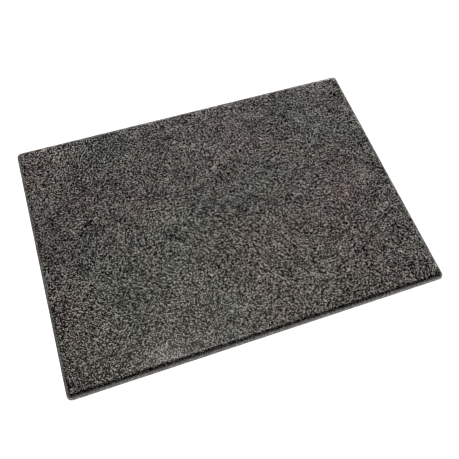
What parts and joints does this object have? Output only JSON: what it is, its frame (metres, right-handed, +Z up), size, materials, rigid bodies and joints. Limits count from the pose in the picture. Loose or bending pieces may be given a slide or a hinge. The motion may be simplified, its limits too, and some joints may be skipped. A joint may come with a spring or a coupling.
{
  "type": "granite slab",
  "caption": "Thin polished granite board with bullnosed edges on stick-on rubber feet, a hard flat surface for stamping and skiving leather.",
  "frame": {"origin": "on the surface that the slab stands on, under the middle of the board", "axes": "+X along the long side of the board, +Y along its short side towards the far edge, +Z up through the board"},
  "size_m": [0.4, 0.288, 0.0167],
  "materials": {
    "polished_granite": "polished top and edges, honed underside; fine black, grey and pale crystals of 1 to 3 mm",
    "black_rubber": "matt moulded rubber",
    "foam_tape": "matt white double-sided foam tape"
  },
  "bodies": {
    "root": {"granite_slab": "polished_granite", "foot_front_left": "black_rubber", "foot_front_right": "black_rubber", "foot_rear_left": "black_rubber", "foot_rear_right": "black_rubber", "tape_pad_front_left": "foam_tape", "tape_pad_front_right": "foam_tape", "tape_pad_rear_left": "foam_tape", "tape_pad_rear_right": "foam_tape"}
  },
  "joints": []
}
